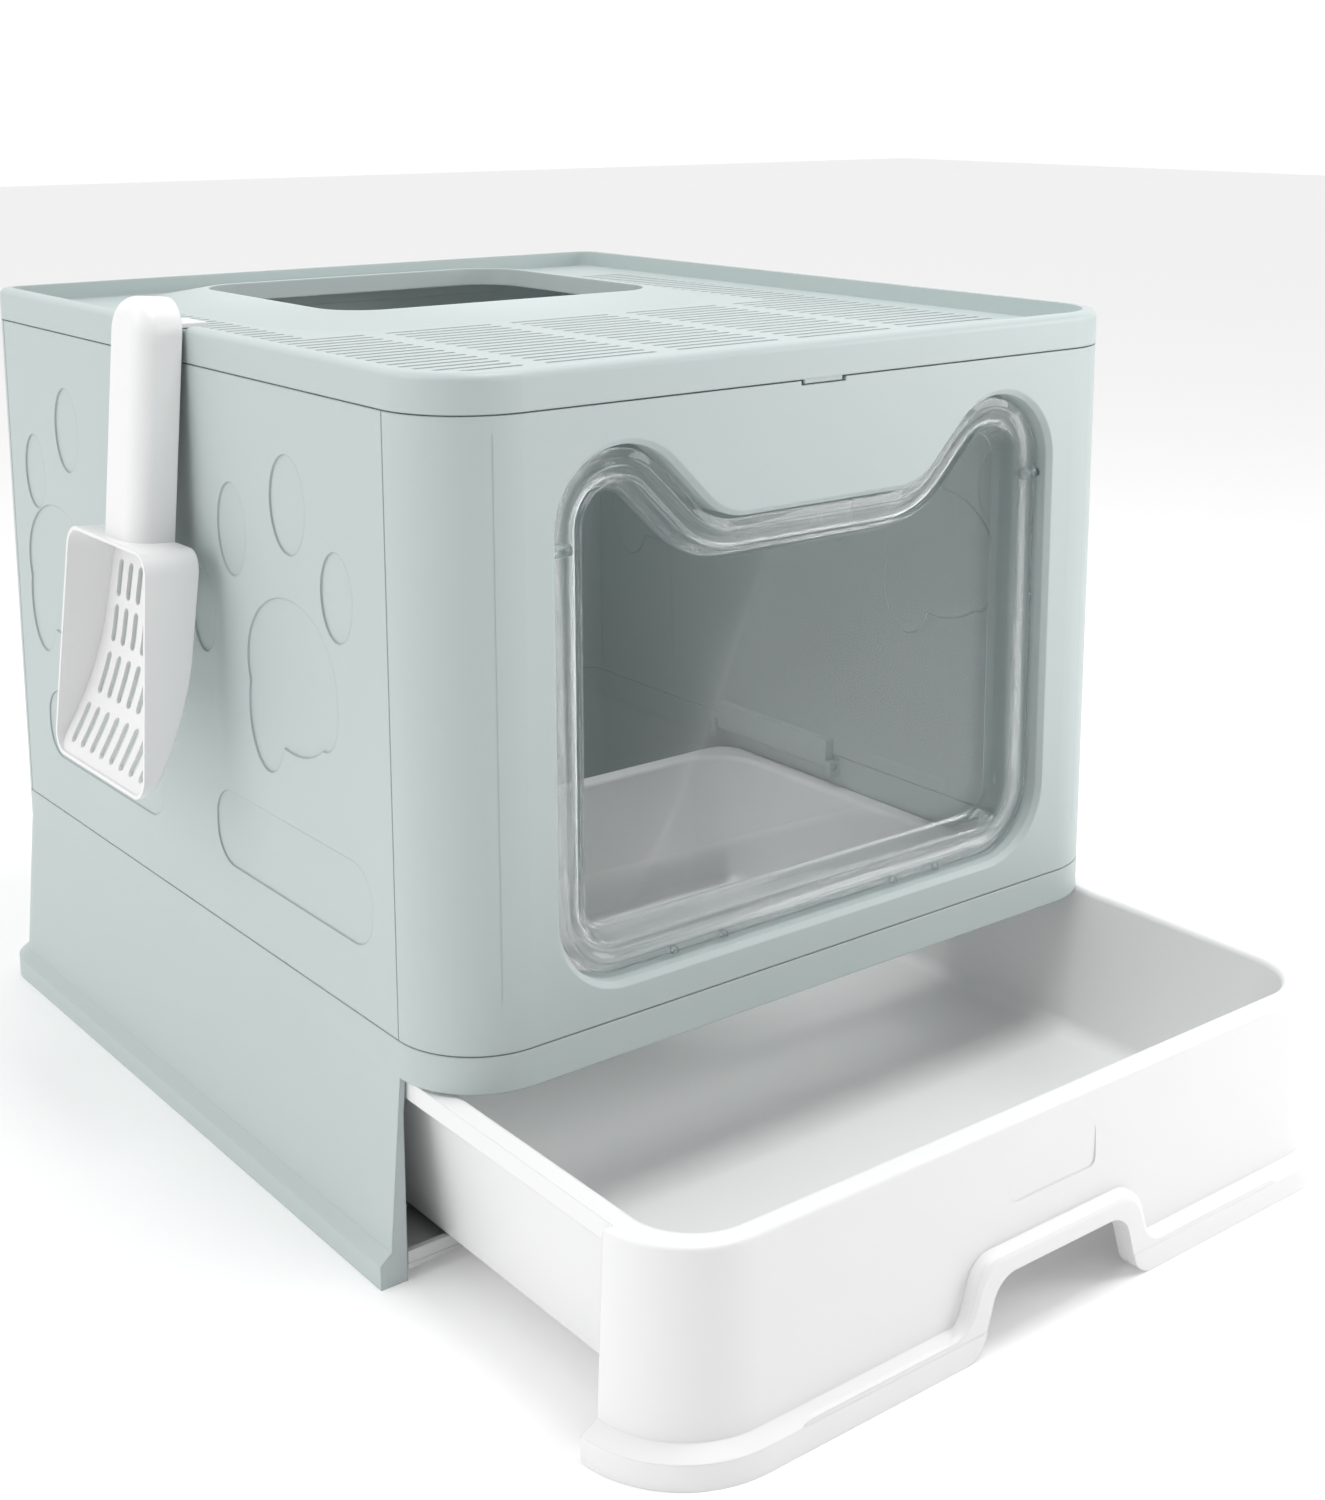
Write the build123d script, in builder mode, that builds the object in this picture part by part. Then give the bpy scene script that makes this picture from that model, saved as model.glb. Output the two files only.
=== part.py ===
from build123d import *
from math import cos, radians, sin, sqrt
import os

os.makedirs("parts", exist_ok=True)

# Frame: middle of the housing footprint on the floor, +Z up, the doorway faces -Y. Millimetres.
# Everything is drawn as in the photo: the drawer stands pulled out by drawer_out.

# ---- housing sizes ----
body_w = 400.0          # over the side panels
body_d = 457.0          # over the front and back panels
front_r = 40.0          # front vertical corners
rear_r = 15.0           # rear vertical corners
base_h = 110.0          # floor to the lower seam
band_z = 93.5           # underside of the front rail of the base
seam_z = 0.6            # horizontal seams
panel_low = base_h + seam_z         # panels stand between the two seams
panel_high = 376.0
lid_seam = panel_high + seam_z
lid_top = lid_seam + 16.4
skin = 2.6              # base and lid wall
panel_t = 3.0           # panel thickness
flare = 6.4             # outward draft of the base walls at the foot
bead_z = 15.5           # top of the foot bead
bead_flat = 11.0        # straight lower part of the bead
bead_out = 12.0         # bead reach past the body
side_y0 = -(body_d / 2 - front_r)   # front ends of the base walls and of the side panels
side_y1 = body_d / 2 - rear_r
front_y = -body_d / 2
side_mid = (side_y0 + side_y1) / 2
far = 600.0             # cutting boxes reach well past the housing

# ---- clearances ----
seam_gap = 0.5          # vertical seams between panels
door_gap = 2.3          # door edge to doorway
pin_gap = 0.08          # radial, pins in their holes
cheek_gap = 0.4         # sideways, hinge tab to cheeks
slide_gap = 0.4         # drawer to its rails


def line(a, b):
    return Edge.make_line(Vector(*a), Vector(*b))


def bend(a, b, c):
    return Edge.make_three_point_arc(Vector(*a), Vector(*b), Vector(*c))


def plan(grow, lead=0.0):
    # housing outline seen from above, offset outwards by grow, front edge held back by lead
    w = body_w / 2 + grow
    d = body_d / 2 + grow
    f = front_r + grow
    r = rear_r + grow
    k = sqrt(0.5)
    e = -d + lead
    edges = [line((-w + f, e), (w - f, e))]
    edges.append(line((-w + r, d), (w - r, d)))
    for s in (-1, 1):
        edges.append(line((s * w, e + f), (s * w, d - r)))
        front = [(s * (w - f), e), (s * (w - f + f * k), e + f - f * k), (s * w, e + f)]
        rear = [(s * (w - r), d), (s * (w - r + r * k), d - r + r * k), (s * w, d - r)]
        edges.append(bend(*front))
        edges.append(bend(*rear))
    return Face(Wire.combine(edges)[0])


# ---- doorway outline, shared by the front panel and the door ----
ear_x = 110.0           # centres of the ear and foot corner arcs
ear_z = base_h + 214.0
foot_z = base_h + 50.5
ear_r = 36.7
dip_z = ear_z - 1.2      # straight edge between the ears
dip_r = 30.0
dip_x = (ear_r + dip_r) * sqrt(2) - ear_x - (dip_z + dip_r - ear_z)
dip_x = -dip_x


def doorway(inset):
    # ear-shaped outline in X and Z, moved inwards by inset
    r1 = ear_r - inset
    r2 = dip_r + inset
    k = sqrt(0.5)
    zc = dip_z + dip_r
    half = [
        (dip_x, zc - r2),
        (dip_x + r2 * k, zc - r2 * k),
        (ear_x - r1 * k, ear_z + r1 * k),
        (ear_x + r1, ear_z),
        (ear_x + r1, foot_z),
        (ear_x, foot_z - r1),
    ]
    arc1 = (dip_x + r2 * sin(radians(22.5)), zc - r2 * cos(radians(22.5)))
    arc2 = (ear_x + r1 * sin(radians(22.5)), ear_z + r1 * cos(radians(22.5)))
    arc3 = (ear_x + r1 * k, foot_z - r1 * k)
    edges = []
    for s in (1, -1):
        p = [(s * x, z) for x, z in half]
        edges.append(bend(p[0], (s * arc1[0], arc1[1]), p[1]))
        edges.append(line(p[1], p[2]))
        edges.append(bend(p[2], (s * arc2[0], arc2[1]), p[3]))
        edges.append(line(p[3], p[4]))
        edges.append(bend(p[4], (s * arc3[0], arc3[1]), p[5]))
    edges.append(line((-dip_x, zc - r2), (dip_x, zc - r2)))
    edges.append(line((-ear_x, foot_z - r1), (ear_x, foot_z - r1)))
    return Face(Wire.combine(edges)[0])


# ---- hinges of the side panels: pegs in cheeks at the base seam ----
fold_x = body_w / 2 - 6.5
fold_z = base_h - 5.5
fold_y0 = -20.0
fold_y1 = 82.0
peg_r = 2.0
cheek_t = 5.0
fold_mid = (fold_y0 + fold_y1) / 2

# ================= base frame: flared walls, front rail, foot bead =================
with BuildPart() as cavity:
    with BuildSketch(Plane.XY.offset(-1)):
        add(plan(flare - skin))
    extrude(amount=bead_z + 1)
    with BuildSketch(Plane.XY.offset(bead_z)):
        add(plan(flare - skin))
    with BuildSketch(Plane.XY.offset(band_z)):
        add(plan(-skin))
    loft()
    # the walls close inwards at their front ends
    with BuildSketch(Plane.XY.offset(-1)):
        with Locations((-body_w / 2 - 48.8, side_y0), (body_w / 2 + 48.8, side_y0)):
            Rectangle(100.0, 6.0)
    extrude(amount=band_z + 1, mode=Mode.SUBTRACT)

with BuildPart() as base_frame:
    with BuildSketch(Plane.XY.offset(band_z)):
        add(plan(0))
    extrude(amount=base_h - band_z)
    with BuildSketch(Plane.XY.offset(bead_z)):
        add(plan(flare))
    with BuildSketch(Plane.XY.offset(band_z)):
        add(plan(0))
    loft()
    with BuildSketch(Plane.XY.offset(bead_flat)):
        add(plan(bead_out))
    with BuildSketch(Plane.XY.offset(bead_z)):
        add(plan(flare))
    loft()
    with BuildSketch(Plane.XY):
        add(plan(bead_out))
    extrude(amount=bead_flat)
    add(cavity.part, mode=Mode.SUBTRACT)
    with BuildSketch(Plane.XY.offset(band_z - 0.01)):
        add(plan(-skin))
    extrude(amount=base_h - band_z + 1, mode=Mode.SUBTRACT)
    # open front below the rail
    with Locations((0, side_y0 - 60, band_z / 2 - 1)):
        Box(body_w + 60, 120, band_z + 2, mode=Mode.SUBTRACT)
    # ledge that carries the floor
    for s in (-1, 1):
        with Locations((s * body_w / 2, side_mid, 4.0)):
            Box(10, side_y1 - side_y0 - 24, 2.0)
    with Locations((0, body_d / 2 - 0.5, 4.0)):
        Box(body_w - 20, 10, 2.0)
    # lips inside the front and back panels
    for s in (-1, 1):
        with Locations((0, s * (body_d / 2 - 4.6), base_h + 1)):
            Box(body_w - 100, 2.0, 10)
        with Locations((0, s * (body_d / 2 - 3.8), base_h - 3)):
            Box(body_w - 100, 3.6, 3)
    # cheeks with the hinge holes, and the slot along the seam above them
    for s in (-1, 1):
        for y in (fold_y0 - cheek_t / 2, fold_y1 + cheek_t / 2):
            with Locations((s * (body_w / 2 - 6.1), y, fold_z - 1.8)):
                Box(7.8, cheek_t, 9.4)
        with Locations((s * (body_w / 2 - 2.2), fold_mid, base_h - 3.5)):
            Box(1.6, fold_y1 - fold_y0, 9, mode=Mode.SUBTRACT)
        with Locations(Location((s * fold_x, fold_mid, fold_z), (90, 0, 0))):
            Cylinder(peg_r + pin_gap, fold_y1 - fold_y0 + 4 * cheek_t, mode=Mode.SUBTRACT)
base_frame.part.label = "base_frame"
export_step(base_frame.part, "parts/base_frame.step")

# ================= base floor: plate with front lip and drawer rails =================
floor_z = 5.2
floor_t = 2.4
rail_top = 14.0
with BuildPart() as base_floor:
    with BuildSketch(Plane.XY.offset(floor_z)):
        add(plan(flare - skin - 0.4))
    extrude(amount=floor_t)
    with Locations((0, side_y0 - 60, 10)):
        Box(body_w + 60, 120, 30, mode=Mode.SUBTRACT)
    # keep clear of the closed wall ends
    for s in (-1, 1):
        with Locations((s * (body_w / 2 + 8.6), side_y0, 10)):
            Box(20, 7.0, 30, mode=Mode.SUBTRACT)
    # front lip, 3 mm thick
    with Locations((0, side_y0 + 1.7, (floor_z + 13.2) / 2)):
        Box(body_w - 3.2, 3.0, 13.2 - floor_z)
    # long rails under the drawer
    for x in (-120, 0, 120):
        with Locations((x, side_mid + 1.5, (floor_z + rail_top) / 2)):
            Box(8, side_y1 - side_y0 - 2, rail_top - floor_z)
    # feet under the middle and towards the corners
    feet = [(0, 0)] + [(x, y) for x in (-130, 130) for y in (side_y0 + 68, side_y1 - 64)]
    for x, y in feet:
        with Locations((x, y, floor_z / 2 + 0.1)):
            Cylinder(12.0, floor_z + 0.2)
    # moulded ribs across the tray floor
    for k in range(5):
        with Locations((0, side_mid + 80 * (k - 2), floor_z + floor_t + 0.9)):
            Box(body_w - 40, 2.0, 2.2)
base_floor.part.label = "base_floor"
export_step(base_floor.part, "parts/base_floor.step")

# ================= drawer: tub, rim, fascia with arched grip =================
drawer_out = 143.0      # photo pose; closed is drawer_out further back
rim_z = 92.0
rim_t = 2.6
rim_drop = 9.0          # depth of the turned-down rim edge
rim_w = body_w / 2 - 3.2            # half width over the rim inside the housing
rim_r = 16.0            # rear corners of the rim
tub_w = body_w / 2 - 13.5           # half width of the mouth
tub_low = tub_w - 10.5  # half width of the tub floor
tub_z = rail_top + slide_gap
tub_t = 2.6
tub_r = 28.0
draft = tub_w - tub_low
face_y = front_y - drawer_out
mouth_y0 = face_y + 10.5            # front edge of the mouth
rim_y1 = body_d / 2 - 6.5 - drawer_out         # rear edge of the rim
mouth_y1 = rim_y1 - 10.3
wing_y = side_y0 - 1.0 - drawer_out   # rear ends of the fascia wings
face_flare = 3.4
foot_out = 8.5
grip_z = 32.5
grip_top = 38.5         # half width of the grip arch at its top
grip_low = 48.0         # half width at the floor
grip_r = 13.0


def arch(grow, base):
    # grip arch in X and Z, moved outwards by grow, standing on a strip up to base
    half = [(150, -40), (150, base), (grip_low + grow, base), (grip_top + grow, grip_z + grow)]
    pts = half + [(-x, z) for x, z in reversed(half)]
    edges = []
    ends = []
    for i, (x, z) in enumerate(pts):
        ux, uz = pts[i - 1][0] - x, pts[i - 1][1] - z
        vx, vz = pts[(i + 1) % 8][0] - x, pts[(i + 1) % 8][1] - z
        lu = sqrt(ux * ux + uz * uz)
        lv = sqrt(vx * vx + vz * vz)
        dot = (ux * vx + uz * vz) / (lu * lv)
        cut = grip_r * sqrt((1 + dot) / (1 - dot))
        start = (x + ux / lu * cut, z + uz / lu * cut)
        stop = (x + vx / lv * cut, z + vz / lv * cut)
        bx, bz = ux / lu + vx / lv, uz / lu + vz / lv
        lb = sqrt(bx * bx + bz * bz)
        reach = grip_r * (1 / sqrt((1 - dot) / 2) - 1)
        edges.append(bend(start, (x + bx / lb * reach, z + bz / lb * reach), stop))
        ends.append((start, stop))
    for i in range(8):
        edges.append(line(ends[i - 1][1], ends[i][0]))
    return Face(Wire.combine(edges)[0])


with BuildPart() as rim_plate:
    # flat rim with its edge turned down, rear corners rounded to clear the housing
    for low, high, grow, how in ((rim_z - rim_drop, rim_z, 0.0, Mode.ADD),
                                 (rim_z - rim_drop, rim_z - rim_t, -2.2, Mode.SUBTRACT)):
        with BuildSketch(Plane.XY.offset(low)) as rim:
            with Locations((0, (wing_y - 8 + rim_y1) / 2)):
                Rectangle(2 * (rim_w + grow), rim_y1 - wing_y + 8 + 2 * grow)
            fillet(rim.vertices().group_by(Axis.Y)[-1], rim_r + grow)
        extrude(amount=high - low, mode=how)

with BuildPart() as drawer_pan:
    # fascia: drafted front with wings round both corners
    with BuildSketch(Plane.XY.offset(bead_z)):
        with Locations((0, -drawer_out)):
            add(plan(face_flare, 1.0))
    with BuildSketch(Plane.XY.offset(rim_z)):
        with Locations((0, -drawer_out)):
            add(plan(0))
    loft()
    with BuildSketch(Plane.XY.offset(bead_flat)):
        with Locations((0, -drawer_out)):
            add(plan(foot_out + 2.5, 2.2))
    with BuildSketch(Plane.XY.offset(bead_z)):
        with Locations((0, -drawer_out)):
            add(plan(face_flare, 1.0))
    loft()
    with BuildSketch(Plane.XY):
        with Locations((0, -drawer_out)):
            add(plan(foot_out + 2.5, 2.2))
    extrude(amount=bead_flat)
    # raised border round the grip arch
    with BuildSketch(Plane.XZ.offset(-face_y + 0.5)):
        add(arch(9.0, 13.0))
    extrude(amount=5.5)
    for y0, y1, g0, g1 in ((6.0, 7.6, 9.0, 8.2), (7.6, 8.5, 8.2, 6.4)):
        with BuildSketch(Plane.XZ.offset(-face_y + y0)):
            add(arch(g0, 13.0))
        with BuildSketch(Plane.XZ.offset(-face_y + y1)):
            add(arch(g1, 13.0))
        loft()
    with Locations((0, face_y, -25)):
        Box(body_w, 60, 50, mode=Mode.SUBTRACT)
    # hollow below the rim
    with BuildSketch(Plane.XY.offset(-1)):
        with Locations((0, -drawer_out)):
            add(plan(face_flare - 3.0, 1.0))
    extrude(amount=bead_z + 1, mode=Mode.SUBTRACT)
    with BuildSketch(Plane.XY.offset(bead_z)):
        with Locations((0, -drawer_out)):
            add(plan(face_flare - 3.0, 1.0))
    with BuildSketch(Plane.XY.offset(rim_z - 3.0)):
        with Locations((0, -drawer_out)):
            add(plan(-3.0))
    loft(mode=Mode.SUBTRACT)
    with Locations((0, wing_y + far / 2, 50)):
        Box(far, far, 200, mode=Mode.SUBTRACT)
    # grip arch and the bare label recess
    with BuildSketch(Plane.XZ.offset(-face_y - 8.0)):
        add(arch(0, 0))
    extrude(amount=30, mode=Mode.SUBTRACT)
    with BuildSketch(Plane.XZ.offset(-face_y + 0.5)):
        with Locations((0, 66.5)):
            RectangleRounded(52, 20, 4)
    extrude(amount=10, mode=Mode.SUBTRACT)
    # tub, rim plate and the turned-down rim edge
    with BuildSketch(Plane.XY.offset(tub_z)):
        with Locations((0, (mouth_y0 + mouth_y1) / 2)):
            RectangleRounded(2 * (tub_low + tub_t), mouth_y1 - mouth_y0 - 2 * draft + 2 * tub_t, tub_r)
    with BuildSketch(Plane.XY.offset(rim_z)):
        with Locations((0, (mouth_y0 + mouth_y1) / 2)):
            RectangleRounded(2 * (tub_w + tub_t), mouth_y1 - mouth_y0 + 2 * tub_t, tub_r + tub_t)
    loft()
    add(rim_plate.part)
    with BuildSketch(Plane.XY.offset(rim_z)):
        with Locations((0, (mouth_y0 + mouth_y1) / 2)):
            RectangleRounded(2 * tub_w, mouth_y1 - mouth_y0, tub_r)
    with BuildSketch(Plane.XY.offset(tub_z + tub_t)):
        with Locations((0, (mouth_y0 + mouth_y1) / 2)):
            RectangleRounded(2 * tub_low, mouth_y1 - mouth_y0 - 2 * draft, tub_r - tub_t)
    loft(mode=Mode.SUBTRACT)
    # rounded mouth, floor and fascia edges
    fillet(drawer_pan.edges().filter_by_position(Axis.Z, rim_z - 0.01, rim_z + 0.01)
           .filter_by_position(Axis.X, -tub_w - 0.1, tub_w + 0.1)
           .filter_by_position(Axis.Y, mouth_y0 - 0.1, mouth_y1 + 0.1), 3.0)
    fillet(drawer_pan.edges().filter_by_position(Axis.Z, rim_z - 0.01, rim_z + 0.01)
           .filter_by_position(Axis.Y, face_y - 0.1, wing_y + 0.1), 2.4)
    fillet(drawer_pan.edges().filter_by_position(Axis.Z, tub_z + tub_t - 0.01, tub_z + tub_t + 0.01), 8.0)
drawer_pan.part.label = "drawer_pan"
export_step(drawer_pan.part, "parts/drawer_pan.step")

# ================= front panel: wraps both corners, framed doorway =================
frame_in = 16.0         # depth of the doorway frame behind the face
pin_y = front_y + 7.9   # door hinge line
pin_z = ear_z - 7.5
pin_r = 1.7
with BuildPart() as front_panel:
    with BuildSketch(Plane.XY.offset(panel_low)):
        add(plan(0))
        add(plan(-panel_t), mode=Mode.SUBTRACT)
    extrude(amount=panel_high - panel_low)
    with Locations((0, side_y0 + far / 2, 240)):
        Box(far, far, 400, mode=Mode.SUBTRACT)
    # tongue into the side panels' ends and ribs behind the face
    with BuildSketch(Plane.XZ.offset(-front_y - 1.0)):
        add(doorway(-0.6))
    extrude(amount=-(frame_in - 1.0))
    for s in (-1, 1):
        with Locations((s * (body_w / 2 - 28), front_y + 4.5, (panel_low + panel_high) / 2 + 8)):
            Box(2.0, 5.0, panel_high - panel_low - 30)
    with BuildSketch(Plane.XZ.offset(-front_y + 1.0)):
        add(doorway(2.4))
    extrude(amount=-(frame_in + 2.0), mode=Mode.SUBTRACT)
    chamfer(front_panel.faces().sort_by(Axis.Y)[0].inner_wires()[0].edges(), 2.4)
    # sockets for the door pins, catch notch at the top seam
    with Locations(Location((0, pin_y, pin_z), (0, 90, 0))):
        Cylinder(pin_r + pin_gap, 2 * (ear_x + ear_r) + 26, mode=Mode.SUBTRACT)
    with Locations((-2.5, front_y + 1.0, panel_high)):
        Box(26, 3.0, 4.0, mode=Mode.SUBTRACT)
front_panel.part.label = "front_panel"
export_step(front_panel.part, "parts/front_panel.step")

# ================= back panel =================
with BuildPart() as back_panel:
    with BuildSketch(Plane.XY.offset(panel_low)):
        add(plan(0))
        add(plan(-panel_t), mode=Mode.SUBTRACT)
    extrude(amount=panel_high - panel_low)
    with Locations((0, side_y1 - far / 2, 240)):
        Box(far, far, 400, mode=Mode.SUBTRACT)
    # stiffening ribs inside, above the base lip
    for x in (-120, -40, 40, 120):
        with Locations((x, body_d / 2 - 4.5, (panel_low + panel_high) / 2 + 2)):
            Box(2.0, 5.0, panel_high - panel_low - 36)
    # shallow outer field
    with BuildSketch(Plane.XZ.offset(-body_d / 2 + 0.8)):
        with Locations((0, 243)):
            RectangleRounded(300, 200, 24)
    extrude(amount=-5, mode=Mode.SUBTRACT)
back_panel.part.label = "back_panel"
export_step(back_panel.part, "parts/back_panel.step")

# ================= side panels: paw-print relief, hinge tab at the foot =================
relief = 0.9
# ovals of the sunk paw prints: centre y, centre z, half length in y, half height in z
toes = [(-106.0, 325.0, 16.0, 22.0), (-52.0, 305.5, 14.0, 21.5), (-147.0, 292.0, 13.5, 19.5),
        (-20.0, 262.0, 12.0, 20.0), (134.0, 326.0, 15.0, 22.0), (180.0, 298.0, 13.5, 20.0)]
palms = [(-104.0, 248.0), (155.0, 248.0)]
palm_ovals = [(0.0, 0.0, 41.0, 35.0), (24.0, -22.0, 17.0, 27.0), (-28.0, -7.0, 13.5, 19.5)]
field = [(-97.0, 160.5, 145.0, 37.0), (108.0, 160.5, 145.0, 37.0)]
for side, name in ((-1, "left_panel"), (1, "right_panel")):
    with BuildPart() as side_panel:
        with Locations((side * (body_w / 2 - panel_t / 2), side_mid, (panel_low + panel_high) / 2)):
            Box(panel_t, side_y1 - side_y0 - 2 * seam_gap, panel_high - panel_low)
        for level, grow, how in ((body_w / 2 - panel_t, 1.2, Mode.ADD), (body_w / 2, 0.0, Mode.SUBTRACT)):
            with BuildSketch(Plane.YZ.offset(side * level)):
                for y, z, a, b in toes:
                    with Locations((y, z)):
                        Ellipse(a + grow, b + grow)
                for y, z in palms:
                    for dy, dz, a, b in palm_ovals:
                        with Locations((y + dy, z + dz)):
                            Ellipse(a + grow, b + grow)
            extrude(amount=-side * relief, mode=how)
        with BuildSketch(Plane.YZ.offset(side * (body_w / 2 - 0.7))):
            for y, z, a, b in field:
                with Locations((y, z)):
                    RectangleRounded(a, b, 16)
        extrude(amount=side * 2.0, mode=Mode.SUBTRACT)
        # hinge tab and its pegs
        tab = fold_y1 - fold_y0 - 2 * cheek_gap
        with Locations((side * (body_w / 2 - 5.9), fold_mid, fold_z + 7.5)):
            Box(6.2, tab, 15.0)
        with Locations(Location((side * fold_x, fold_mid, fold_z), (90, 0, 0))):
            Cylinder(2.5, tab)
        with Locations(Location((side * fold_x, fold_mid, fold_z), (90, 0, 0))):
            Cylinder(peg_r, tab + 2 * cheek_gap + 2 * (cheek_t - 0.5))
    side_panel.part.label = name
    export_step(side_panel.part, "parts/" + name + ".step")

scoop_y = 4.0           # middle of the scoop, where it hangs on the lid rim
hang_x = -body_w / 2

# ================= lid: skirt, rim, slotted deck, raised entry collar =================
rim_w_lid = 7.0
deck_z = lid_top - 9.0
deck_t = 2.6
entry_w = 200.0         # entry opening in X
entry_d = 170.0
entry_y = 105.0         # middle of the opening
entry_r = 26.0
collar = 36.0           # blank sloping border round the opening
collar_z = lid_top - 3.0
slot_w = 3.0
slot_pitch = 9.0
with BuildPart() as lid:
    with BuildSketch(Plane.XY.offset(lid_seam)):
        add(plan(0))
    extrude(amount=lid_top - lid_seam)
    fillet(lid.faces().sort_by(Axis.Z)[-1].edges(), 3.5)
    # recessed deck and hollow underside
    with BuildSketch(Plane.XY.offset(deck_z)):
        add(plan(-rim_w_lid))
    extrude(amount=20, mode=Mode.SUBTRACT)
    with BuildSketch(Plane.XY.offset(lid_seam - 1)):
        add(plan(-skin))
    extrude(amount=deck_z - deck_t - lid_seam + 1, mode=Mode.SUBTRACT)
    # collar rising to the entry
    with BuildSketch(Plane.XY.offset(deck_z - 0.01)):
        with Locations((0, entry_y)):
            RectangleRounded(entry_w + 2 * collar, entry_d + 2 * collar, entry_r + collar)
    with BuildSketch(Plane.XY.offset(collar_z)):
        with Locations((0, entry_y)):
            RectangleRounded(entry_w + 6, entry_d + 6, entry_r + 3)
    loft()
    with BuildSketch(Plane.XY.offset(deck_z - deck_t - 0.01)):
        with Locations((0, entry_y)):
            RectangleRounded(entry_w + 2 * collar - 8, entry_d + 2 * collar - 8, entry_r + collar - 4)
    with BuildSketch(Plane.XY.offset(collar_z - deck_t)):
        with Locations((0, entry_y)):
            RectangleRounded(entry_w + 4, entry_d + 4, entry_r + 2)
    loft(mode=Mode.SUBTRACT)
    # stepped throat below the opening
    for grow, low in ((3.0, deck_z - 4.0), (-1.5, deck_z + 0.5)):
        with BuildSketch(Plane.XY.offset(low)):
            with Locations((0, entry_y)):
                RectangleRounded(entry_w + 2 * grow, entry_d + 2 * grow, entry_r + grow)
        extrude(amount=collar_z - low)
    with BuildSketch(Plane.XY.offset(370)):
        with Locations((0, entry_y)):
            RectangleRounded(entry_w, entry_d, entry_r)
    extrude(amount=40, mode=Mode.SUBTRACT)
    # drain slots in blocks, left out under the collar
    with BuildSketch(Plane.XY.offset(370)):
        for x in (-144.0, -72.0, 0.0, 72.0, 144.0):
            for k in range(40):
                y = -196.0 + slot_pitch * k
                clear_y = y < entry_y - entry_d / 2 - collar - 4
                clear_x = abs(x) > entry_w / 2 + collar - 2 and y < 196
                if clear_y:
                    with Locations((x, y)):
                        SlotOverall(60, slot_w)
                elif clear_x:
                    with Locations((x + (14 if x > 0 else -14), y)):
                        SlotOverall(32, slot_w)
    extrude(amount=deck_z - 369, mode=Mode.SUBTRACT)
    # notch for the scoop hook and the catch tab of the front seam
    with Locations((-body_w / 2 + 2, scoop_y, lid_top)):
        Box(16, 34, 3.2, mode=Mode.SUBTRACT)
    with Locations((-2.5, front_y + 1.1, lid_seam - 0.9)):
        Box(22, 1.6, 2.2)
    # ribs that hold the lid between the front and back panels
    for s in (-1, 1):
        with Locations((0, s * (body_d / 2 - 5.0), panel_high + 0.5)):
            Box(body_w - 150, 2.0, 11.0)
lid.part.label = "lid"
export_step(lid.part, "parts/lid.step")

# ================= door: clear flap, raised beads, dished pane, side pins =================
door_in = 2.4 + door_gap
door_y = pin_y - 1.25   # front of the flange
flange_t = 2.5
dish = 10.0
with BuildPart() as flap_door:
    with BuildSketch(Plane.XZ.offset(-door_y)):
        add(doorway(door_in))
    extrude(amount=-flange_t)
    for inset in (6.0, 9.0):
        with BuildSketch(Plane.XZ.offset(-door_y)):
            add(doorway(door_in + inset))
            add(doorway(door_in + inset + 1.4), mode=Mode.SUBTRACT)
        extrude(amount=0.8)
    with BuildSketch(Plane.XZ.offset(-door_y - flange_t + 0.01)):
        add(doorway(door_in + 13.0))
    with BuildSketch(Plane.XZ.offset(-door_y - dish - 2.0)):
        add(doorway(door_in + 15.5))
    loft()
    with BuildSketch(Plane.XZ.offset(-door_y)):
        add(doorway(door_in + 14.5))
    with BuildSketch(Plane.XZ.offset(-door_y - dish)):
        add(doorway(door_in + 17.5))
    loft(mode=Mode.SUBTRACT)
    for s in (-1, 1):
        with Locations(Location((s * 140.0, pin_y, pin_z), (0, 90, 0))):
            Cylinder(pin_r, 13.0)
        with Locations(Location((s * 137.2, pin_y, pin_z), (0, 90, 0))):
            Cylinder(pin_r + 0.9, 8.0)
    # stop pegs at the foot edge
    for x in (-80, -52, 52, 80):
        with Locations((x, door_y + 1.0, foot_z - ear_r + door_in + 1.2)):
            Box(3.0, 3.6, 2.6)
flap_door.part.label = "flap_door"
export_step(flap_door.part, "parts/flap_door.step")

# ================= scoop: channel handle with rim hook, slotted bowl =================
grip_w = 37.0
bowl_wall = 2.0
mouth_x = hang_x - 37.0
bowl_deep = 27.0
bowl_top = lid_top - 100.0
bowl_low = bowl_top - 113.0
handle_top = lid_top + 11.5
hook_z = lid_top - 0.1
tilt = 5.0              # the bowl hangs outwards, the handle leans on the lid
lean = 9.5              # and stands that much nearer to the wall
slot_step = 11.0


def behind_floor(shift):
    # all that lies behind the bowl's curved floor, in X and Z, moved towards the mouth by shift
    x0 = mouth_x - shift
    pts = [(x0, bowl_low - 3), (x0 + 22.6, bowl_low + 62), (x0 + bowl_deep, bowl_top + 6),
           (x0 + 80, bowl_top + 6), (x0 + 80, bowl_low - 9), (x0, bowl_low - 9)]
    edges = [bend(pts[0], (x0 + 13.5, bowl_low + 25), pts[1])]
    for a, b in zip(pts[1:], pts[2:] + pts[:1]):
        edges.append(line(a, b))
    return Face(Wire.combine(edges)[0])


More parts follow.
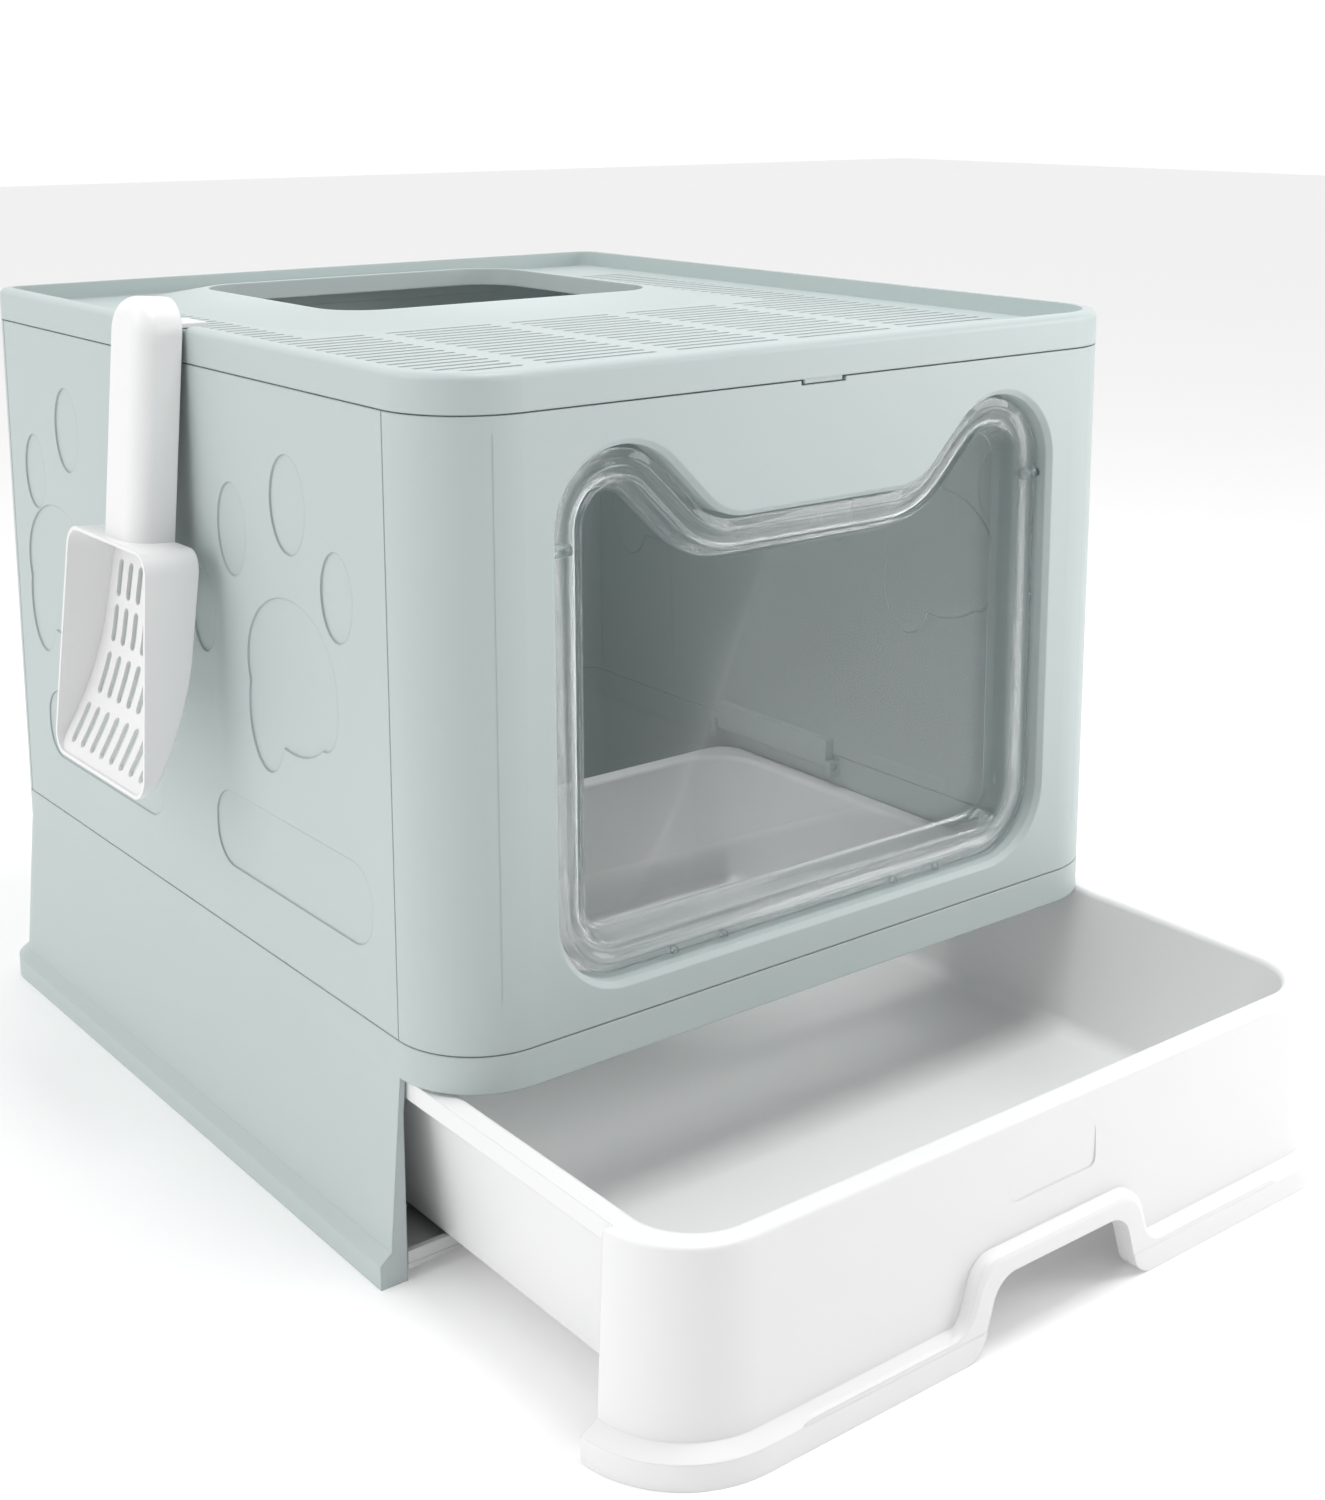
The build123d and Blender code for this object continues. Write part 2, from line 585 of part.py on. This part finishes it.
def bowl_block(inset, front):
    # tapered rounded block from the mouth to the deepest floor, floor side cut to its curve
    with BuildPart() as block:
        with BuildSketch(Plane.YZ.offset(mouth_x - front)) as mouth:
            with BuildLine():
                Polyline((scoop_y - 44 + inset, bowl_top - inset), (scoop_y + 44 - inset, bowl_top - inset),
                         (scoop_y + 52 - inset, bowl_low + inset), (scoop_y - 52 + inset, bowl_low + inset),
                         (scoop_y - 44 + inset, bowl_top - inset))
            make_face()
            fillet(mouth.vertices(), 11 - inset)
        extrude(amount=bowl_deep + front)
        with BuildSketch(Plane.XZ.offset(-scoop_y - 70)):
            add(behind_floor(inset))
        extrude(amount=140, mode=Mode.SUBTRACT)
    return block.part


with BuildPart() as bar:
    with Locations((hang_x - 21.5, scoop_y, (bowl_top + handle_top) / 2 - 1)):
        Box(21, grip_w, handle_top - bowl_top + 2)
    fillet(bar.edges().filter_by(Axis.X).group_by(Axis.Z)[-1], 16)
    fillet(bar.faces().sort_by(Axis.X)[0].edges().filter_by_position(Axis.Z, bowl_top + 1, 999), 9)
with BuildPart() as bar_hollow:
    with Locations((hang_x - 15.3, scoop_y, (bowl_top + handle_top) / 2 - 1.2)):
        Box(29, grip_w - 4.4, handle_top - bowl_top - 2.4)
    fillet(bar_hollow.edges().filter_by(Axis.X).group_by(Axis.Z)[-1], 13.8)
    fillet(bar_hollow.faces().sort_by(Axis.X)[0].edges().filter_by_position(Axis.Z, bowl_top + 1, 999), 6.8)
with BuildPart() as scoop_body:
    add(bowl_block(0.0, 0.0))
    add(bowl_block(bowl_wall, 1.0), mode=Mode.SUBTRACT)
    # slots through the floor, four rows, the lowest one over the curve
    with BuildSketch(Plane.YZ.offset(mouth_x)):
        for height, length, count in ((87, 18, 7), (65, 18, 7), (41, 20, 7), (16, 19, 8)):
            for k in range(count):
                with Locations((scoop_y + slot_step * (k - (count - 1) / 2), bowl_low + height)):
                    SlotOverall(length, 5.0, rotation=90)
    extrude(amount=bowl_deep + 1, mode=Mode.SUBTRACT)
    # handle: rounded channel open to the wall, closed at its top
    add(bar.part)
    add(bar_hollow.part, mode=Mode.SUBTRACT)
with BuildPart() as scoop:
    add(scoop_body.part.rotate(Axis((hang_x, scoop_y, lid_top), (0, 1, 0)), tilt).translate((lean, 0, 0)))
    # hook over the lid rim
    with Locations((hang_x - 4.0, scoop_y, hook_z)):
        Box(36, 24, 2.0)
    with Locations((hang_x + 13.0, scoop_y, hook_z - 2.5)):
        Box(2.0, 24, 7.0)
scoop.part.label = "scoop"
export_step(scoop.part, "parts/scoop.step")
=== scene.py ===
import math

import bmesh
import bpy
from mathutils import Matrix, Vector


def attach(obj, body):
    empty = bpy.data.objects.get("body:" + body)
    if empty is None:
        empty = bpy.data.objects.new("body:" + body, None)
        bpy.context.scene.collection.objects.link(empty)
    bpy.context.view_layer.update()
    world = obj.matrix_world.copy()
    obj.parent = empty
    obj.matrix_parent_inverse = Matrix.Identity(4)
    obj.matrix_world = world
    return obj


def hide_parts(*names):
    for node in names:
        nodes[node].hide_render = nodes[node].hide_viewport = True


# Metres: +Z is up, the doorway faces -Y, and the origin is on the floor under the housing.
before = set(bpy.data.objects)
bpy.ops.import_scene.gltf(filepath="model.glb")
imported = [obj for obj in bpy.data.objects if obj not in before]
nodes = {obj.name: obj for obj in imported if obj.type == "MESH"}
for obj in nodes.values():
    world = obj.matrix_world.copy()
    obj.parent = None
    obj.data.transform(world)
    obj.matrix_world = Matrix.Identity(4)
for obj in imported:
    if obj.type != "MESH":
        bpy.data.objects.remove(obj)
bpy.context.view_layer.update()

# ---- base frame ----
# The lower housing: flared walls with a foot bead, and a rail across the front over the drawer.
# One moulding of pale sage plastic with a fine satin texture, into which the walls snap.


def moulded_plastic(name, colour, roughness, grain, edge, shade=0.02):
    # satin moulded plastic: faint tone drift, fine mould grain, shading softened over the edge width
    tone_patches = 9.0          # noise scales, per metre
    grain_specks = 1700.0
    grain_height = 0.0002
    smoothest, roughest = roughness - 0.04, roughness + 0.06
    mat = bpy.data.materials.new(name)
    mat.use_nodes = True
    tree = mat.node_tree
    shader = tree.nodes["Principled BSDF"]
    shader.inputs["IOR"].default_value = 1.49
    place = tree.nodes.new("ShaderNodeTexCoord").outputs["Object"]
    drift = tree.nodes.new("ShaderNodeTexNoise")
    drift.inputs["Scale"].default_value = tone_patches
    drift.inputs["Detail"].default_value = 3.0
    tree.links.new(place, drift.inputs["Vector"])
    tones = tree.nodes.new("ShaderNodeMix")
    tones.data_type = "RGBA"
    tones.inputs["A"].default_value = (*[c * (1 - shade) for c in colour], 1)
    tones.inputs["B"].default_value = (*[min(1, c * (1 + shade)) for c in colour], 1)
    tree.links.new(drift.outputs["Fac"], tones.inputs["Factor"])
    tree.links.new(tones.outputs["Result"], shader.inputs["Base Color"])
    fine = tree.nodes.new("ShaderNodeTexNoise")
    fine.inputs["Scale"].default_value = grain_specks
    fine.inputs["Detail"].default_value = 2.0
    tree.links.new(place, fine.inputs["Vector"])
    sheen = tree.nodes.new("ShaderNodeMapRange")
    sheen.inputs["To Min"].default_value = smoothest
    sheen.inputs["To Max"].default_value = roughest
    tree.links.new(fine.outputs["Fac"], sheen.inputs["Value"])
    tree.links.new(sheen.outputs["Result"], shader.inputs["Roughness"])
    softened = tree.nodes.new("ShaderNodeBevel")
    softened.samples = 6
    softened.inputs["Radius"].default_value = edge
    bump = tree.nodes.new("ShaderNodeBump")
    bump.inputs["Strength"].default_value = grain
    bump.inputs["Distance"].default_value = grain_height
    tree.links.new(fine.outputs["Fac"], bump.inputs["Height"])
    tree.links.new(softened.outputs["Normal"], bump.inputs["Normal"])
    tree.links.new(bump.outputs["Normal"], shader.inputs["Normal"])
    return mat


sage_plastic = moulded_plastic("sage_plastic", colour=(0.48, 0.548, 0.54), roughness=0.42,
                               grain=0.12, edge=0.0012)
nodes["base_frame"].data.materials[0] = sage_plastic

# ---- base floor ----
# The plate under the drawer, light grey plastic with a satin skin, standing on its own low feet.
# Its front lip shows in the slot beside the pulled-out drawer.
floor_plastic = moulded_plastic("floor_plastic", colour=(0.62, 0.625, 0.625), roughness=0.45,
                                grain=0.12, edge=0.0006)
nodes["base_floor"].data.materials[0] = floor_plastic

# ---- drawer ----
# The litter pan: one white moulding with a rolled rim, a curved front and a finger arch.
# It is smoother than the housing, and its label recess is bare.
white_plastic = moulded_plastic("white_plastic", colour=(0.83, 0.83, 0.83), roughness=0.36,
                                grain=0.08, edge=0.0008, shade=0.008)
nodes["drawer_pan"].data.materials[0] = white_plastic

# ---- front and back panels ----
# The front wall wraps both front corners round the ear-shaped doorway; the back wall is plain.
# Both are sage mouldings that stand on the base frame.
for wall in ("front_panel", "back_panel"):
    nodes[wall].data.materials[0] = sage_plastic

# ---- side panels ----
# Two flat sage walls with a paw-print relief sunk into the outside.
# On the real box each turns on pegs at the base seam so that the box folds down; here both stay fixed in
# place.
for wall in ("left_panel", "right_panel"):
    nodes[wall].data.materials[0] = sage_plastic

# ---- flap door ----
# A clear plastic flap that swings on two end pins, moulded with a double bead and a dished pane.
# Its section runs round the ear-shaped doorway outline, and the pane closes it front and back.
door_front = -0.22185           # flange face, on Y
door_inset = 0.0047             # from the doorway outline to the door's edge
ear_x, ear_z, ear_round = 0.110, 0.324, 0.0367
foot_z = 0.1605
dip_z, dip_round = 0.3228, 0.030
dip_x = ear_x + dip_z + dip_round - ear_z - (ear_round + dip_round) * math.sqrt(2)
dip_steps, ear_steps, foot_steps = 8, 20, 14
pin_y, pin_z = -0.2206, 0.3165
pin_round, pin_length, pin_centre = 0.0017, 0.013, 0.140
collar_round, collar_length, collar_centre = 0.0026, 0.008, 0.1372
peg_places = (-0.080, -0.052, 0.052, 0.080)
peg_size = (0.003, 0.0036, 0.0026)
peg_y, peg_z = door_front + 0.001, 0.1297

# inset from the edge and depth behind the flange face, in millimetres, round the section
front_section = [(0.0, 1.9), (0.0, 0.6), (0.18, 0.18), (0.6, 0.0), (3.4, 0.0), (3.9, -0.35), (4.6, -0.74),
                 (5.4, -0.8), (6.2, -0.74), (6.9, -0.35), (7.4, 0.0), (8.4, 0.5), (9.4, 0.8), (10.6, 0.8),
                 (11.2, 0.5), (11.8, 0.0), (12.2, -0.4), (12.8, -0.75), (13.4, -0.75), (13.9, -0.4),
                 (14.3, 0.1), (14.9, 1.2), (15.7, 3.6), (16.6, 6.8), (17.3, 8.8), (18.1, 9.7), (19.2, 10.0)]
back_section = [(18.0, 12.0), (16.4, 11.6), (15.4, 10.6), (14.4, 7.4), (13.2, 3.3), (12.2, 2.6),
                (8.0, 2.5), (0.6, 2.5), (0.18, 2.32)]
millimetre = 0.001


def arc_points(centre_x, centre_z, radius, start, end, steps):
    # angles in degrees, from +X towards +Z
    turns = [math.radians(start + (end - start) * i / steps) for i in range(steps + 1)]
    return [(centre_x + radius * math.cos(t), centre_z + radius * math.sin(t)) for t in turns]


def doorway_ring(inset):
    # the door's outline in X and Z, moved inwards by inset
    ear = ear_round - door_inset - inset
    dip = dip_round + door_inset + inset
    half = arc_points(dip_x, dip_z + dip_round, dip, -90, -45, dip_steps)
    half += arc_points(ear_x, ear_z, ear, 135, 0, ear_steps)
    half += arc_points(ear_x, foot_z, ear, 0, -90, foot_steps)
    return half + [(-x, z) for x, z in reversed(half)]


def add_pin(shape, x, radius, length):
    # a round pin along X, sunk into the door's edge
    pin = bmesh.ops.create_cone(shape, cap_ends=True, segments=24, radius1=radius, radius2=radius,
                                depth=length)["verts"]
    bmesh.ops.rotate(shape, verts=pin, cent=(0, 0, 0), matrix=Matrix.Rotation(math.pi / 2, 3, "Y"))
    bmesh.ops.translate(shape, verts=pin, vec=(x, pin_y, pin_z))


door_shape = bmesh.new()
door_rings = []
for inset, depth in front_section + back_section:
    outline = doorway_ring(inset * millimetre)
    y = door_front + depth * millimetre
    door_rings.append([door_shape.verts.new((x, y, z)) for x, z in outline])
pane_front = door_rings[len(front_section) - 1]
pane_back = door_rings[len(front_section)]
around = len(pane_front)
for ring_a, ring_b in zip(door_rings, door_rings[1:] + door_rings[:1]):
    if ring_a is pane_front:
        continue
    for i in range(around):
        j = (i + 1) % around
        door_shape.faces.new((ring_a[i], ring_a[j], ring_b[j], ring_b[i]))
for ring in (pane_front, pane_back):
    door_shape.faces.new(ring).material_index = 1
for side in (-1, 1):
    add_pin(door_shape, side * pin_centre, pin_round, pin_length)
    add_pin(door_shape, side * collar_centre, collar_round, collar_length)
for x in peg_places:
    peg = bmesh.ops.create_cube(door_shape, size=1.0)["verts"]
    bmesh.ops.scale(door_shape, verts=peg, vec=peg_size)
    bmesh.ops.translate(door_shape, verts=peg, vec=(x, peg_y, peg_z))
bmesh.ops.recalc_face_normals(door_shape, faces=door_shape.faces)
door_mesh = bpy.data.meshes.new("clear_flap")
door_shape.to_mesh(door_mesh)
door_shape.free()
for face in door_mesh.polygons:
    face.use_smooth = len(face.vertices) == 4
clear_flap = bpy.data.objects.new("clear_flap", door_mesh)
bpy.context.scene.collection.objects.link(clear_flap)


def clear_moulding(name, tint_and_painted_shade, see_through, shine, waviness):
    # clear plastic: a tint, tiny waviness from the mould, glossy skin; a dark tint also paints shade onto
    # what is seen through it
    mat = bpy.data.materials.new(name)
    mat.use_nodes = True
    tree = mat.node_tree
    shader = tree.nodes["Principled BSDF"]
    shader.inputs["Base Color"].default_value = (*tint_and_painted_shade, 1)
    shader.inputs["Roughness"].default_value = 0.04
    shader.inputs["IOR"].default_value = 1.49
    shader.inputs["Transmission Weight"].default_value = 1.0
    shader.inputs["Specular IOR Level"].default_value = shine
    shader.inputs["Alpha"].default_value = 1 - see_through
    place = tree.nodes.new("ShaderNodeTexCoord").outputs["Object"]
    waves = tree.nodes.new("ShaderNodeTexNoise")
    waves.inputs["Scale"].default_value = 22.0
    bump = tree.nodes.new("ShaderNodeBump")
    bump.inputs["Strength"].default_value = waviness
    bump.inputs["Distance"].default_value = 0.002
    tree.links.new(place, waves.inputs["Vector"])
    tree.links.new(waves.outputs["Fac"], bump.inputs["Height"])
    tree.links.new(bump.outputs["Normal"], shader.inputs["Normal"])
    return mat


door_mesh.materials.append(clear_moulding("clear_rim", tint_and_painted_shade=(0.90, 0.96, 0.955), see_through=0.42,
                                          shine=0.8, waviness=0.003))
# the pane is real clear plastic, but its dark teal tint is painted shade that dims the cabin seen through
# the door
door_mesh.materials.append(clear_moulding("clear_pane_and_painted_shade", tint_and_painted_shade=(0.50, 0.68, 0.66), see_through=0.88,
                                          shine=0.4, waviness=0.001))
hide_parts("flap_door")
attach(clear_flap, "door")

# ---- lid ----
# The rimmed top with its sunk, slotted deck and the entry opening, moulded in the sage plastic.
# It rests on the four walls and lifts straight off.
nodes["lid"].data.materials[0] = sage_plastic

# ---- scoop ----
# A slotted bowl on a channel handle, in the same white plastic as the pan.
# It hangs by its hook over the left rim of the lid.
nodes["scoop"].data.materials[0] = white_plastic

# ---- studio floor and air ----
# A wide pale floor and a white surround, neither of them part of the object.
# The surround is white behind the object and dimmer in front of the doorway.
floor_reach = 9.0
corners = [(-floor_reach, -floor_reach, 0), (floor_reach, -floor_reach, 0),
           (floor_reach, floor_reach, 0), (-floor_reach, floor_reach, 0)]
ground = bpy.data.meshes.new("studio_floor")
ground.from_pydata(corners, [], [(0, 1, 2, 3)])
studio_floor = bpy.data.objects.new("studio_floor", ground)
bpy.context.scene.collection.objects.link(studio_floor)
floor_paint = bpy.data.materials.new("floor_paint")
floor_paint.use_nodes = True
paint = floor_paint.node_tree.nodes["Principled BSDF"]
paint.inputs["Base Color"].default_value = (0.9, 0.9, 0.9, 1)
paint.inputs["Roughness"].default_value = 0.7
paint.inputs["Emission Color"].default_value = (1, 1, 1, 1)
paint.inputs["Emission Strength"].default_value = 0.13
ground.materials.append(floor_paint)

front_glow, back_glow = 0.12, 1.02
world = bpy.data.worlds.new("studio_air")
world.use_nodes = True
air = world.node_tree
toward = air.nodes.new("ShaderNodeSeparateXYZ")
air.links.new(air.nodes.new("ShaderNodeTexCoord").outputs["Generated"], toward.inputs["Vector"])
glow = air.nodes.new("ShaderNodeMapRange")
glow.inputs["From Min"].default_value = -1.0
glow.inputs["From Max"].default_value = 0.1
glow.inputs["To Min"].default_value = front_glow
glow.inputs["To Max"].default_value = back_glow
air.links.new(toward.outputs["Y"], glow.inputs["Value"])
air.nodes["Background"].inputs["Color"].default_value = (1, 1, 1, 1)
air.links.new(glow.outputs["Result"], air.nodes["Background"].inputs["Strength"])
bpy.context.scene.world = world

# ---- lamps ----
# Three soft boxes: one for the left side, one that brightens the right of the front, one for the pan.
# A narrow spot shines down the top entry onto the pan inside.


def hang_lamp(name, lamp, place, aim):
    hung = bpy.data.objects.new(name, lamp)
    hung.location = place
    hung.rotation_mode = "QUATERNION"
    hung.rotation_quaternion = (Vector(aim) - Vector(place)).to_track_quat("-Z", "Y")
    bpy.context.scene.collection.objects.link(hung)
    return hung


def light_box(name, place, aim, width, power):
    lamp = bpy.data.lights.new(name, "AREA")
    lamp.shape = "RECTANGLE"
    lamp.size = width
    lamp.size_y = width
    lamp.energy = power
    hang_lamp(name, lamp, place, aim).visible_camera = False


light_box("left_box", place=(-1.9, 0.2, 1.2), aim=(0, 0, 0.2), width=1.4, power=9)
light_box("right_box", place=(0.78, -0.8, 0.5), aim=(0.2, -0.2, 0.28), width=0.45, power=3.8)
light_box("front_top_box", place=(0.1, -0.52, 1.7), aim=(0.08, -0.3, 0.0), width=0.6, power=11)

entry_lamp = bpy.data.lights.new("entry_lamp", "SPOT")
entry_lamp.energy = 28
entry_lamp.spot_size = math.radians(10)
entry_lamp.spot_blend = 0.4
entry_lamp.shadow_soft_size = 0.05
hang_lamp("entry_lamp", entry_lamp, place=(-0.30, 0.45, 1.3), aim=(0, 0.105, 0.372))

# ---- camera ----
# The photograph's view, fitted to the corners and edges of the housing.
# It looks from the left of the doorway, a little above the lid.
view_azimuth = math.radians(38.357)
view_elevation = math.radians(11.096)
gaze = Vector((math.sin(view_azimuth) * math.cos(view_elevation),
               math.cos(view_azimuth) * math.cos(view_elevation),
               -math.sin(view_elevation)))
camera_data = bpy.data.cameras.new("photo_camera")
camera_data.lens = 50.34
camera_data.sensor_width = 36.0
camera_data.shift_x = -0.01747
camera_data.shift_y = -0.17333
camera = bpy.data.objects.new("photo_camera", camera_data)
camera.location = (-0.61041, -0.90176, 0.50405)
camera.rotation_mode = "QUATERNION"
camera.rotation_quaternion = gaze.to_track_quat("-Z", "Y")
bpy.context.scene.collection.objects.link(camera)
bpy.context.scene.camera = camera
bpy.context.scene.view_settings.view_transform = "Standard"
